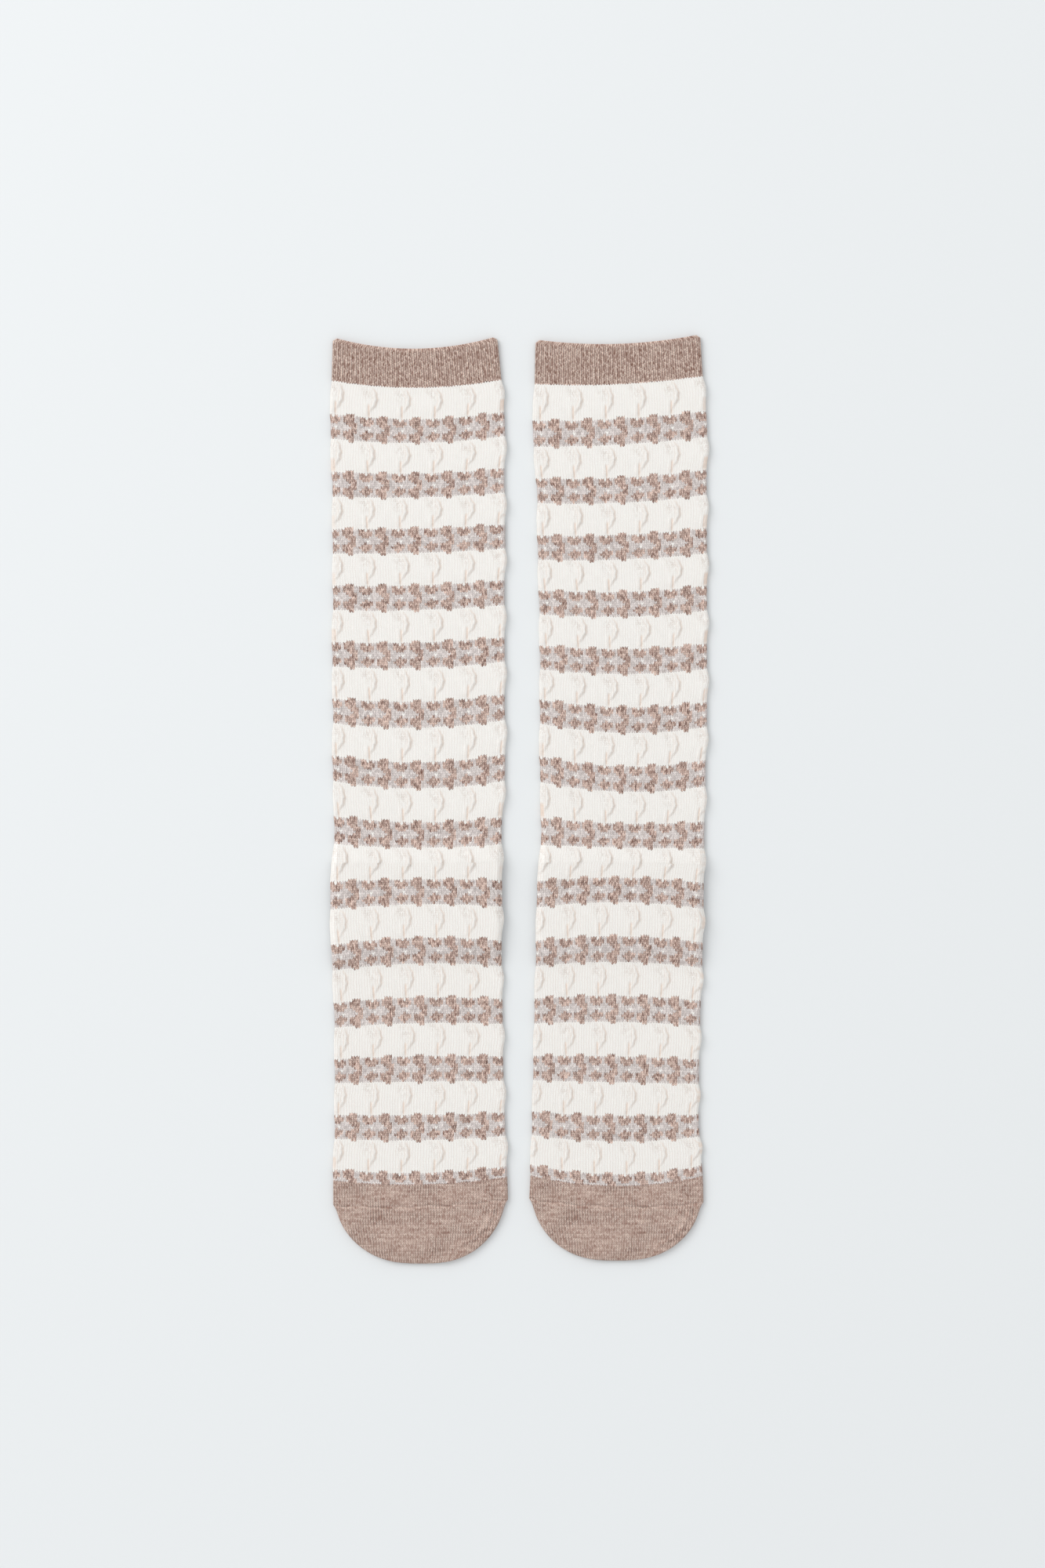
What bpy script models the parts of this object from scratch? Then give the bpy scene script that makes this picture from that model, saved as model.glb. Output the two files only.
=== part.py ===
"""A pair of knee-high socks laid flat side by side, insteps up, cuffs at +Y and toes at -Y.

Each sock is five knitted sections, one object each: a ribbed cuff, the striped leg, the heel pocket
folded flat under the sole, the striped foot and the toe pocket. Every section is a closed wall of
knitted cloth round an empty space, and two layers of it lie on each other, joined by the folds at
the sides. Lengths in the tables are in millimetres and are turned into metres in one place, metres().
The pair stands on z = 0, with the origin under its middle.
"""

import math
from collections import namedtuple

import bmesh
import bpy

MM = 0.001
MIDDLE = (0.12, -0.21)  # the middle of the pair in the tables' x and y

# The cloth.
WALL = 1.2  # thickness of the knitted wall
SLIT = 0.6  # air between the two layers of a flat sock
SEAM = 0.3  # gap between two sections, and between layers that rest on each other
FLAT = 2 * WALL + SLIT  # height of a flat sock

# The hooks raised in each cream stripe. Distances along the sock are in stripe pitches, counted from
# the middle of a grey stripe, and distances across it are in cells, one hook each.
CREAM_STARTS = 0.24
CREAM_ENDS = 0.76
CELLS = 5  # hooks across one face
HOOK_HEIGHT = 1.3
FOOT_RELIEF = 0.7  # the foot is pulled flatter than the leg, from one stripe to the next at the ankle
HOOK_STEM = 0.05  # the crest's place in its cell at both ends of the stripe
HOOK_BULGE = 0.21  # how far the crest swings out between them
HOOK_END = 0.84  # how far down the stripe it has swung back
HOOK_DROP = 0.09  # width of the steep side beyond the crest
RISE = ((0.30, 0.30), (0.61, 0.75))  # the gentle side: (cells past the foot of the hook, share of height)
STRIPE_BULGE = 0.6  # how far a cream stripe stands out at the sides

# The ribbed cuff.
RIBS = 36  # across one face
RIB_DEPTH = 0.5
CORNER = 2.4  # how far the cuff's top corners are rounded in
WELT_ROUND = 0.4  # how far the middle of the wall stands out at the turned top edge

# The heel pocket under the sole.
CREASE = 8.5  # the ankle crease, in stripe pitches
HEEL_LENGTH = 40.0
HEEL_SLIT = 0.4
HEEL_INSET = 3.4  # how much narrower than the sock it is, each side
HEEL_TAPER = 0.3  # how much narrower its tip is than its mouth
HEEL_OUTLINE = (4.0, 4.0)  # powers of its round outline: where it falls in, and how round it is
HEEL_STACK = 2 * WALL + HEEL_SLIT + SEAM  # how far it lifts the foot
DRAPE = 14.0  # length over which the cloth comes down to the floor again
HEEL_CLEAR = 3.0  # cloth past the heel's tip before it comes down

# The toe.
TOE_SEAM_RIDGE = 0.5
TOE_SEAM_WIDTH = 0.9
TOE_OUTLINE = (1.4, 2.6)

# A row for each course of stitches that was measured: stripe is its place in stripe pitches, y its
# middle, tilt and bow raise it towards the right side and towards both sides, left and right are the
# sock's edges there, and turn is how far the hooks sit to the right of their even places.
Course = namedtuple("Course", "stripe y tilt bow left right turn")
LEFT_COURSES = (
    Course(-0.45, 241.1, 0.3, 6.4, -99.7, -11.5, 1.0),
    Course(0.20, 221.3, 0.2, 4.1, -100.3, -9.4, 1.0),
    Course(1, 197.7, 0.6, 3.4, -100.9, -7.5, 0.0),
    Course(2, 168.6, 1.0, 1.7, -99.9, -7.7, -1.0),
    Course(3, 139.0, 1.3, 0.9, -99.7, -7.3, -1.6),
    Course(4, 108.4, 1.4, 1.5, -99.5, -7.7, -1.2),
    Course(5, 77.6, 1.3, 1.8, -99.9, -7.5, -0.4),
    Course(6, 45.8, 1.0, 3.1, -99.5, -7.5, -0.2),
    Course(7, 13.3, 0.2, 4.1, -99.7, -7.3, -0.3),
    Course(8, -18.8, -0.2, 2.7, -98.8, -9.2, 0.5),
    Course(9, -49.0, 0.6, -1.6, -100.9, -8.9, 1.5),
    Course(10, -80.6, 1.2, -2.7, -100.1, -9.2, 2.0),
    Course(11, -112.6, 1.0, -1.8, -98.8, -8.7, 1.8),
    Course(12, -144.0, 0.7, -0.6, -98.6, -8.3, 0.9),
    Course(13, -175.5, 0.7, 1.1, -98.6, -7.3, -0.6),
    Course(14, -206.5, 1.0, 3.0, -99.5, -6.2, -1.6),
    Course(14.35, -217.8, 1.5, 2.0, -99.5, -5.8, -1.6),
)
RIGHT_COURSES = (
    Course(-0.45, 243.7, 1.4, 3.7, 8.9, 97.3, 1.4),
    Course(0.20, 223.2, 2.1, 2.3, 8.5, 98.6, 1.4),
    Course(1, 197.4, 2.7, 1.4, 7.7, 100.9, 1.1),
    Course(2, 166.0, 2.2, 2.1, 9.8, 100.7, 0.5),
    Course(3, 135.5, 1.9, 1.6, 10.2, 100.9, 0.6),
    Course(4, 104.9, 1.2, 2.2, 11.0, 100.9, 0.9),
    Course(5, 74.3, 0.3, 2.5, 11.4, 100.9, 0.9),
    Course(6, 42.9, -0.8, 3.9, 11.4, 100.9, 0.0),
    Course(7, 11.2, -1.1, 4.5, 11.4, 100.1, -0.9),
    Course(8, -19.1, -1.0, 1.4, 12.1, 99.4, -1.3),
    Course(9, -47.9, -0.4, -3.0, 9.8, 99.0, -2.4),
    Course(10, -79.8, -0.4, -2.8, 9.3, 98.4, -2.6),
    Course(11, -111.8, -0.6, -1.9, 8.5, 97.3, -2.2),
    Course(12, -144.2, -1.0, -0.4, 7.9, 96.5, -2.1),
    Course(13, -176.0, -0.6, 2.2, 7.2, 96.5, -2.9),
    Course(14, -207.2, -0.2, 5.4, 6.2, 98.6, -3.4),
    Course(14.35, -218.0, -1.0, 3.2, 5.6, 99.0, -3.4),
)

Sock = namedtuple("Sock", "side courses cell tip")
SOCKS = (
    Sock("left", LEFT_COURSES, 0.380, -248.7),  # cell: width of a hook's cell in half widths of the sock
    Sock("right", RIGHT_COURSES, 0.378, -247.1),  # tip: y of the toe's tip
)

# Faceting.
STRIPE_ROWS = (CREAM_STARTS, 0.37, 0.50, 0.63, CREAM_ENDS)
PLAIN_ROW = 0.50  # the one row of each stripe that a plain inside has too
DRAPE_ROWS = (8.05, 9.92, 10.12)
ROW_CLEAR = 0.06  # least distance of a row from the tube's ends
FIRST_CREST, FIRST_FOOT, LAST_CREST = -0.985, -0.96, 0.975  # as near the side folds as a hook comes
FOLD_STEPS = 4  # facets round a side fold
UNDER_STEPS = 7  # facets across the underside
POCKET_STEPS = 14  # facets across the top of the toe and of the heel
ROUND_ROWS = 8  # rings along a pocket's rounded end
LAST_SHARE = 0.998  # a pocket's end cap stands this far along
THINNEST = 0.1  # height of the end cap, as a share of the pocket's

# Colours are linear.
HEATHER = ("brown_heather_knit", (0.423, 0.314, 0.266), 0.9)
CREAM = ("cream_knit", (0.847, 0.823, 0.787), 0.9)
GREY = ("grey_and_brown_knit", (0.497, 0.424, 0.396), 0.9)


def metres(point):
    x, y, z = point
    return ((x - MIDDLE[0]) * MM, (y - MIDDLE[1]) * MM, z * MM)


def smooth_step(share):
    share = min(max(share, 0.0), 1.0)
    return share * share * (3 - 2 * share)


def course_at(courses, stripe):
    """The course at this place, on a smooth curve through the table's rows."""
    last = len(courses) - 2
    row = max(i for i in range(last + 1) if i == 0 or courses[i].stripe <= stripe)
    before, start, end = courses[max(row - 1, 0)], courses[row], courses[row + 1]
    after = courses[min(row + 2, last + 1)]
    span = end.stripe - start.stripe
    share = (stripe - start.stripe) / span
    values = []
    for a, b, c, d in zip(before, start, end, after):
        slope_in = (c - a) / (end.stripe - before.stripe) * span
        slope_out = (d - b) / (after.stripe - start.stripe) * span
        values.append(
            b * (1 + 2 * share) * (1 - share) ** 2
            + c * share**2 * (3 - 2 * share)
            + slope_in * share * (1 - share) ** 2
            - slope_out * share**2 * (1 - share)
        )
    return Course(*values)


def swell(stripe, end=1.0):
    """0 in a grey stripe and past this end of a cream one, and up to 1 between them."""
    place = (stripe % 1 - CREAM_STARTS) / (CREAM_ENDS - CREAM_STARTS) / end
    return math.sin(math.pi * place) if 0 < place < 1 else 0.0


def plain_columns(steps):
    """Places across the top, from -1 at the left fold to 1 at the right one, with no relief."""
    return [(-1 + 2 * i / steps, 0.0) for i in range(steps + 1)]


def rib_columns():
    """The cuff's ribs: a crest and a furrow in turn."""
    return [(-1 + i / RIBS, -RIB_DEPTH * (i % 2 == 0)) for i in range(2 * RIBS + 1)]


def hook_columns(sock, stripe):
    """The hooks' crests and feet swing with the stripe, so that the facets follow each arc."""
    height = HOOK_HEIGHT * swell(stripe) * (1 - (1 - FOOT_RELIEF) * smooth_step(stripe - CREASE + 0.5))
    crest = HOOK_STEM + HOOK_BULGE * swell(stripe, HOOK_END)
    course = course_at(sock.courses, stripe)
    turn = course.turn / ((course.right - course.left) / 2)
    columns = [(-1.0, height / 2)]
    for cell in range(CELLS + 1):
        pinch = (cell - CELLS / 2) * sock.cell + turn
        columns.append((min(max(pinch + crest * sock.cell, FIRST_CREST), LAST_CREST), height))
        if cell < CELLS:
            foot = max(pinch + (crest + HOOK_DROP) * sock.cell, FIRST_FOOT)
            columns.append((foot, 0.0))
            columns += [(foot + run * sock.cell, height * share) for run, share in RISE]
    return columns + [(1.0, height / 2)]


def section(course, half_width, base, top, columns, shift=0.0, inset=0.0):
    """One closed ring of points round a flat tube: over the top from left to right, round the right
    fold, back along the underside and up the left fold. inset moves it inwards, without relief."""
    radius = (top - base) / 2
    centre = (course.left + course.right) / 2
    flat = half_width - radius

    def fold(side, first_angle):
        for step in range(1, FOLD_STEPS):
            angle = first_angle - math.pi * step / FOLD_STEPS
            x = centre + side * flat + (radius - inset) * math.cos(angle)
            yield x, base + radius + (radius - inset) * math.sin(angle)

    profile = [(centre + place * flat, top - inset + (0 if inset else lift)) for place, lift in columns]
    profile += fold(1, math.pi / 2)
    under = [flat * (1 - 2 * step / UNDER_STEPS) for step in range(UNDER_STEPS + 1)]
    profile += [(centre + across, base + inset) for across in under]
    profile += fold(-1, math.pi * 3 / 2)
    ring = []
    for x, z in profile:
        side = (x - centre) / ((course.right - course.left) / 2)
        ring.append((x, course.y + course.tilt * side + course.bow * side * side + shift, z))
    return ring


def heel_lift(sock, stripe, on_foot):
    """How far the heel pocket holds the cloth off the floor at this place."""
    y = course_at(sock.courses, stripe).y
    crease = course_at(sock.courses, CREASE).y
    if on_foot:
        return HEEL_STACK * smooth_step((y - crease + HEEL_LENGTH + HEEL_CLEAR + DRAPE) / DRAPE)
    return HEEL_STACK * smooth_step((crease + DRAPE - y) / DRAPE)


def striped_rows(start, end):
    """The rings of a striped tube: five in each cream stripe and more where the cloth drapes."""
    rows = [stripe + row for stripe in range(int(end) + 1) for row in STRIPE_ROWS]
    rows += DRAPE_ROWS
    return [start] + sorted(row for row in rows if start + ROW_CLEAR < row < end - ROW_CLEAR) + [end]


def striped_ring(sock, stripe, on_foot, shift, inset):
    course = course_at(sock.courses, stripe)
    lift = heel_lift(sock, stripe, on_foot)
    half_width = (course.right - course.left) / 2 + STRIPE_BULGE * swell(stripe)
    columns = hook_columns(sock, stripe)
    return section(course, half_width, lift if on_foot else 0.0, lift + FLAT, columns, shift, inset)


def striped_tube(sock, name, start, end):
    """The leg or the foot: hooks outside, plain inside, and half a SEAM short of both neighbours."""
    on_foot = start >= CREASE
    shift = {start: -SEAM / 2, end: SEAM / 2}
    rows = striped_rows(start, end)
    plain_rows = [row for row in rows if row in (start, end, *DRAPE_ROWS) or row % 1 == PLAIN_ROW]
    outer = [striped_ring(sock, row, on_foot, shift.get(row, 0.0), 0.0) for row in rows]
    inner = [striped_ring(sock, row, on_foot, shift.get(row, 0.0), WALL) for row in plain_rows]
    in_grey = [not CREAM_STARTS < (rows[i] + rows[i + 1]) / 2 % 1 < CREAM_ENDS for i in range(len(rows) - 1)]
    cloth_wall(f"{sock.side}_{name}", outer, inner, (CREAM, GREY), second_finish=in_grey)


def cuff(sock):
    top, end = sock.courses[0], sock.courses[1]
    columns = rib_columns()
    length = top.y - end.y

    def ring(depth, narrow, inset, shift=0.0):
        course = course_at(sock.courses, top.stripe + (end.stripe - top.stripe) * depth / length)
        half_width = (course.right - course.left) / 2 - narrow
        return section(course, half_width, 0.0, FLAT, columns, shift, inset)

    outer = [ring(0.0, CORNER, 0.0, -WELT_ROUND)]
    outer += [ring(depth, CORNER * (1 - depth / CORNER) ** 2, 0.0) for depth in (CORNER / 3, CORNER)]
    outer += [ring(length / 2, 0.0, 0.0), ring(length, 0.0, 0.0, SEAM / 2)]
    inner = [ring(0.0, CORNER, WALL, -WELT_ROUND), ring(CORNER, 0.0, WALL), ring(length, 0.0, WALL, SEAM / 2)]
    cloth_wall(f"{sock.side}_cuff", outer, inner, (HEATHER,), rim=ring(0.0, CORNER, WALL / 2))


def pocket_ring(course, end_y, share, outline, half_width, top, inset, shift=0.0):
    """A ring of a pocket's rounded end, share of the way from course to end_y. The pocket gets flat
    and level towards its end, where its two layers turn into each other."""
    fall, roundness = outline
    radius = top / 2
    level = course._replace(
        y=course.y + (end_y - course.y) * share,
        tilt=course.tilt * (1 - share),
        bow=course.bow * (1 - share),
    )
    to_end = min(abs(end_y - course.y) * (1 - share) / radius, 1)
    squeeze = max(math.sqrt(1 - (1 - to_end) ** 2), THINNEST)
    width = max(half_width * (1 - share**fall) ** (1 / roundness), top)
    ring = section(level, width, 0.0, top, plain_columns(POCKET_STEPS), shift, inset)
    return [(x, y, radius + (z - radius) * squeeze) for x, y, z in ring]


def pocket_shares(steps):
    """Places along a rounded end, closer together towards its tip."""
    return [math.sin(math.pi / 2 * step / steps) for step in range(1, steps)] + [LAST_SHARE]


def toe(sock):
    start, seam = sock.courses[-2], sock.courses[-1]
    middle = course_at(sock.courses, (start.stripe + seam.stripe) / 2)
    half_width = (seam.right - seam.left) / 2

    def ring(course, inset, shift=0.0, ridge=0.0):
        raised = [(place, ridge) for place, _ in plain_columns(POCKET_STEPS)]
        return section(course, (course.right - course.left) / 2, 0.0, FLAT, raised, shift, inset)

    def end_rings(inset, steps):
        end_y = sock.tip + inset
        return [
            pocket_ring(seam, end_y, share, TOE_OUTLINE, half_width, FLAT, inset)
            for share in pocket_shares(steps)
        ]

    outer = [ring(start, 0.0, -SEAM / 2), ring(middle, 0.0), ring(seam, 0.0, TOE_SEAM_WIDTH)]
    outer += [ring(seam, 0.0, 0.0, TOE_SEAM_RIDGE), ring(seam, 0.0, -TOE_SEAM_WIDTH)]
    outer += end_rings(0.0, ROUND_ROWS)
    inner = [ring(start, WALL, -SEAM / 2), ring(seam, WALL)] + end_rings(WALL, ROUND_ROWS // 2)
    cloth_wall(f"{sock.side}_toe", outer, inner, (HEATHER,), closed=True)


def heel(sock):
    """The doubled pocket lies on the floor under the sole, its mouth at the ankle crease."""
    crease = course_at(sock.courses, CREASE)
    half_width = (crease.right - crease.left) / 2 - HEEL_INSET
    top = 2 * WALL + HEEL_SLIT

    def rings(inset, steps):
        end_y = crease.y - HEEL_LENGTH + inset
        found = [pocket_ring(crease, end_y, 0.0, HEEL_OUTLINE, half_width, top, inset, -SEAM / 2)]
        for share in pocket_shares(steps):
            tapered = half_width * (1 - HEEL_TAPER * share)
            found.append(pocket_ring(crease, end_y, share, HEEL_OUTLINE, tapered, top, inset))
        return found

    outer, inner = rings(0.0, ROUND_ROWS), rings(WALL, ROUND_ROWS // 2)
    cloth_wall(f"{sock.side}_heel", outer, inner, (HEATHER,), closed=True)


def cloth_wall(name, outer, inner, finishes, second_finish=(), closed=False, rim=None):
    """A closed wall between two stacks of rings that start at the same open end, where rim rounds its
    edge. The far end is open too, unless closed, and then each stack ends in its own cap. The outside
    takes the second finish after each ring that second_finish marks."""
    bm = bmesh.new()

    def bridge(first, second, finish=0):
        for i in range(len(first)):
            j = (i + 1) % len(first)
            bm.faces.new((first[i], first[j], second[j], second[i])).material_index = finish

    outer, inner, rims = (
        [[bm.verts.new(metres(point)) for point in ring] for ring in stack]
        for stack in (outer, inner, [rim] if rim else [])
    )
    loop = [*inner[::-1], *rims, *outer] + ([] if closed else [inner[-1]])
    for row in range(len(loop) - 1):
        outer_row = row - len(inner) - len(rims)
        marked = 0 <= outer_row < len(second_finish) and second_finish[outer_row]
        bridge(loop[row], loop[row + 1], int(marked))
    if closed:
        bm.faces.new(outer[-1])
        bm.faces.new(inner[-1][::-1])
    bmesh.ops.recalc_face_normals(bm, faces=bm.faces)
    mesh = bpy.data.meshes.new(name)
    bm.to_mesh(mesh)
    bm.free()
    mesh.shade_smooth()
    mesh.set_sharp_from_angle(angle=math.radians(50))
    for finish in finishes:
        mesh.materials.append(material(*finish))
    bpy.context.scene.collection.objects.link(bpy.data.objects.new(name, mesh))


def material(name, colour, roughness):
    if name in bpy.data.materials:
        return bpy.data.materials[name]
    finish = bpy.data.materials.new(name)
    finish.use_nodes = True
    shader = finish.node_tree.nodes["Principled BSDF"]
    shader.inputs["Base Color"].default_value = (*colour, 1)
    shader.inputs["Roughness"].default_value = roughness
    shader.inputs["Metallic"].default_value = 0
    finish.diffuse_color = (*colour, 1)
    return finish


def clear_scene():
    for thing in list(bpy.data.objects):
        bpy.data.objects.remove(thing, do_unlink=True)


clear_scene()
for pair_member in SOCKS:
    cuff(pair_member)
    striped_tube(pair_member, "leg", pair_member.courses[1].stripe, CREASE)
    heel(pair_member)
    striped_tube(pair_member, "foot", CREASE, pair_member.courses[-2].stripe)
    toe(pair_member)
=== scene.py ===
# %% [markdown]
# # A pair of knee-high socks, laid flat
#
# Two knitted socks lie side by side on a pale surface, insteps up. Each has a ribbed brown cuff, a
# leg and a foot in cream and patterned grey stripes, and a plain brown toe; the heel pocket is
# folded flat under the sole. The solid part gives the sizes. This script knits the visible cloth
# over it: thin walls with the raised hooks of the cream stripes, and yarns that are drawn stitch by
# stitch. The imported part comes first, because every piece is set out from it.

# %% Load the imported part
import math

import bmesh
import bpy
import numpy as np
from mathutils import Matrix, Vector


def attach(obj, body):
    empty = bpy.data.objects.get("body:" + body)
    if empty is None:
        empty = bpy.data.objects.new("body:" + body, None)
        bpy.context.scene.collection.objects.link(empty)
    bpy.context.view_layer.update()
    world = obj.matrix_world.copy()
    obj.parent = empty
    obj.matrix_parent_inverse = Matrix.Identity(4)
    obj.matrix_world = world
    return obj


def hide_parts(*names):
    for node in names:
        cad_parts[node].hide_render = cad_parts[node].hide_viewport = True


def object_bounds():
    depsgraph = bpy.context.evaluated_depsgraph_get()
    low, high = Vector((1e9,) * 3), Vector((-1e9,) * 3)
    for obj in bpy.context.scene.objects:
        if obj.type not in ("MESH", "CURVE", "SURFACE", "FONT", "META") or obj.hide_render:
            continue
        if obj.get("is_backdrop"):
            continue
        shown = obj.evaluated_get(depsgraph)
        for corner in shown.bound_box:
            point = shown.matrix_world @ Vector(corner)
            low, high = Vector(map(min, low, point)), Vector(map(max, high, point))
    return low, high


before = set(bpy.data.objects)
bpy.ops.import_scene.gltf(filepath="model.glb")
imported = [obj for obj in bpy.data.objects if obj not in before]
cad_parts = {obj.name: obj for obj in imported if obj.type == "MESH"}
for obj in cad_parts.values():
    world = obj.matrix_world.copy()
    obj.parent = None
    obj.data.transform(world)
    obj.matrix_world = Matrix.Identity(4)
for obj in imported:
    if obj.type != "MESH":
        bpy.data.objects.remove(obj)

CAD_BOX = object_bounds()
print("the part measures", [round(high - low, 4) for low, high in zip(*CAD_BOX)], "m")

# %% [markdown]
# ## Camera
#
# The socks are seen from straight above. A camera looks down its own -Z with +Y up, so it needs no
# turn at all: it only stands over the middle of the picture, at the distance from which its lens
# takes in the picture's height of 840 mm at the level of the cloth.

# %% Camera
MM = 0.001
PICTURE_HEIGHT = 840 * MM
LENS, SENSOR = 85.0, 36.0
CLOTH_LEVEL = 3 * MM
PICTURE_MIDDLE = (1.86 * MM, 8.61 * MM)

camera = bpy.data.objects.new("Camera", bpy.data.cameras.new("Camera"))
camera.data.lens, camera.data.sensor_width = LENS, SENSOR
camera.location = (*PICTURE_MIDDLE, CLOTH_LEVEL + PICTURE_HEIGHT * LENS / SENSOR)
bpy.context.scene.collection.objects.link(camera)
bpy.context.scene.camera = camera
print("the camera stands", round(camera.location.z, 3), "m above the floor")

# %% [markdown]
# ## Light and floor
#
# The light is a studio's. Most of it comes from a pale surround, which keeps the folds of the cream
# cloth nearly white. A broad soft lamp high to the upper left adds the rest: it shades the right
# side of each fold a little and lays a thin soft shadow beside the socks. The floor is a plain pale
# sheet, a hair below the cloth so that the two never share a plane. The colours are taken as they
# are, so the view transform is the standard one.

# %% Light
LAMP_SIZE = 2.6
LAMP_AT = (-2.6, 1.8, 2.8)
LAMP_POWER = 78.0
FILL = (0.805, 0.815, 0.825)
FILL_STRENGTH = 0.97

scene = bpy.context.scene
scene.view_settings.view_transform = "Standard"
scene.world = bpy.data.worlds.new("Studio")
scene.world.use_nodes = True
scene.world.node_tree.nodes["Background"].inputs["Color"].default_value = (*FILL, 1)
scene.world.node_tree.nodes["Background"].inputs["Strength"].default_value = FILL_STRENGTH

lamp = bpy.data.objects.new("Softbox", bpy.data.lights.new("Softbox", "AREA"))
lamp.data.size, lamp.data.energy = LAMP_SIZE, LAMP_POWER
lamp.location = LAMP_AT
lamp.rotation_mode = "QUATERNION"
lamp.rotation_quaternion = lamp.location.to_track_quat("Z", "Y")
scene.collection.objects.link(lamp)
print("one lamp,", round(lamp.location.length, 2), "m from the socks")

# %% Floor
FLOOR_SIZE = 6.0
FLOOR_DROP = 0.1 * MM
FLOOR_COLOUR = (0.795, 0.815, 0.82)
FLOOR_ROUGHNESS = 0.8

sheet = bmesh.new()
bmesh.ops.create_grid(sheet, x_segments=1, y_segments=1, size=FLOOR_SIZE / 2)
bmesh.ops.translate(sheet, verts=sheet.verts, vec=(0, 0, -FLOOR_DROP))
floor_mesh = bpy.data.meshes.new("Floor")
sheet.to_mesh(floor_mesh)
sheet.free()
floor = bpy.data.objects.new("Floor", floor_mesh)
scene.collection.objects.link(floor)
floor_finish = bpy.data.materials.new("Pale floor")
floor_finish.use_nodes = True
floor_shader = floor_finish.node_tree.nodes["Principled BSDF"]
floor_shader.inputs["Base Color"].default_value = (*FLOOR_COLOUR, 1)
floor_shader.inputs["Roughness"].default_value = FLOOR_ROUGHNESS
floor_mesh.materials.append(floor_finish)
floor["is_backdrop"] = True
print("the floor is", FLOOR_SIZE, "m wide")

# %% [markdown]
# ## Where each course of stitches lies
#
# A hand-laid sock is never quite straight: its courses sag, tilt and pull in, and the hooks drift
# round it. The table gives that for each grey stripe: its number, the height of its middle, how
# much it rises towards the right and towards both sides, the sock's two edges, and how far the
# hooks sit to the right of their even places. All are in millimetres, as in the solid part, and a
# smooth curve runs through the rows.

# %% The measured courses
STRIPE, Y, TILT, BOW, LEFT, RIGHT, TURN = range(7)
LEFT_COURSES = np.array([
    (-0.45, 241.1, 0.3, 6.4, -99.7, -11.5, 1.0),
    (0.20, 221.3, 0.2, 4.1, -100.3, -9.4, 1.0),
    (1, 197.7, 0.6, 3.4, -100.9, -7.5, 0.0),
    (2, 168.6, 1.0, 1.7, -99.9, -7.7, -1.0),
    (3, 139.0, 1.3, 0.9, -99.7, -7.3, -1.6),
    (4, 108.4, 1.4, 1.5, -99.5, -7.7, -1.2),
    (5, 77.6, 1.3, 1.8, -99.9, -7.5, -0.4),
    (6, 45.8, 1.0, 3.1, -99.5, -7.5, -0.2),
    (7, 13.3, 0.2, 4.1, -99.7, -7.3, -0.3),
    (8, -18.8, -0.2, 2.7, -98.8, -9.2, 0.5),
    (9, -49.0, 0.6, -1.6, -100.9, -8.9, 1.5),
    (10, -80.6, 1.2, -2.7, -100.1, -9.2, 2.0),
    (11, -112.6, 1.0, -1.8, -98.8, -8.7, 1.8),
    (12, -144.0, 0.7, -0.6, -98.6, -8.3, 0.9),
    (13, -175.5, 0.7, 1.1, -98.6, -7.3, -0.6),
    (14, -206.5, 1.0, 3.0, -99.5, -6.2, -1.6),
    (14.35, -217.8, 1.5, 2.0, -99.5, -5.8, -1.6),
])
RIGHT_COURSES = np.array([
    (-0.45, 243.7, 1.4, 3.7, 8.9, 97.3, 1.4),
    (0.20, 223.2, 2.1, 2.3, 8.5, 98.6, 1.4),
    (1, 197.4, 2.7, 1.4, 7.7, 100.9, 1.1),
    (2, 166.0, 2.2, 2.1, 9.8, 100.7, 0.5),
    (3, 135.5, 1.9, 1.6, 10.2, 100.9, 0.6),
    (4, 104.9, 1.2, 2.2, 11.0, 100.9, 0.9),
    (5, 74.3, 0.3, 2.5, 11.4, 100.9, 0.9),
    (6, 42.9, -0.8, 3.9, 11.4, 100.9, 0.0),
    (7, 11.2, -1.1, 4.5, 11.4, 100.1, -0.9),
    (8, -19.1, -1.0, 1.4, 12.1, 99.4, -1.3),
    (9, -47.9, -0.4, -3.0, 9.8, 99.0, -2.4),
    (10, -79.8, -0.4, -2.8, 9.3, 98.4, -2.6),
    (11, -111.8, -0.6, -1.9, 8.5, 97.3, -2.2),
    (12, -144.2, -1.0, -0.4, 7.9, 96.5, -2.1),
    (13, -176.0, -0.6, 2.2, 7.2, 96.5, -2.9),
    (14, -207.2, -0.2, 5.4, 6.2, 98.6, -3.4),
    (14.35, -218.0, -1.0, 3.2, 5.6, 99.0, -3.4),
])


def course_at(courses, stripe):
    """The seven values of the table at each of these places, along the last axis."""
    stripe = np.asarray(stripe, float)[..., None]
    last = len(courses) - 2
    row = np.clip(np.searchsorted(courses[:, STRIPE], stripe[..., 0], "right") - 1, 0, last)
    before, start = courses[np.maximum(row - 1, 0)], courses[row]
    end, after = courses[row + 1], courses[np.minimum(row + 2, last + 1)]
    span = end[..., :1] - start[..., :1]
    share = (stripe - start[..., :1]) / span
    slope_in = (end - before) / (end[..., :1] - before[..., :1]) * span
    slope_out = (after - start) / (after[..., :1] - start[..., :1]) * span
    return (
        start * (1 + 2 * share) * (1 - share) ** 2
        + end * share**2 * (3 - 2 * share)
        + slope_in * share * (1 - share) ** 2
        - slope_out * share**2 * (1 - share)
    )


class Sock:
    def __init__(self, side, courses, cell, tip, seed):
        self.side, self.courses, self.cell, self.tip = side, courses, cell, tip
        self.random = np.random.default_rng(seed)


SOCKS = (
    Sock("left", LEFT_COURSES, 0.380, -248.7, 11),  # cell: width of a hook's cell in half widths
    Sock("right", RIGHT_COURSES, 0.378, -247.1, 12),  # tip: y of the toe's tip
)
for sock in SOCKS:
    print(sock.side, "sock, from y", sock.courses[0, Y], "to", sock.tip, "mm")

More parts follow.
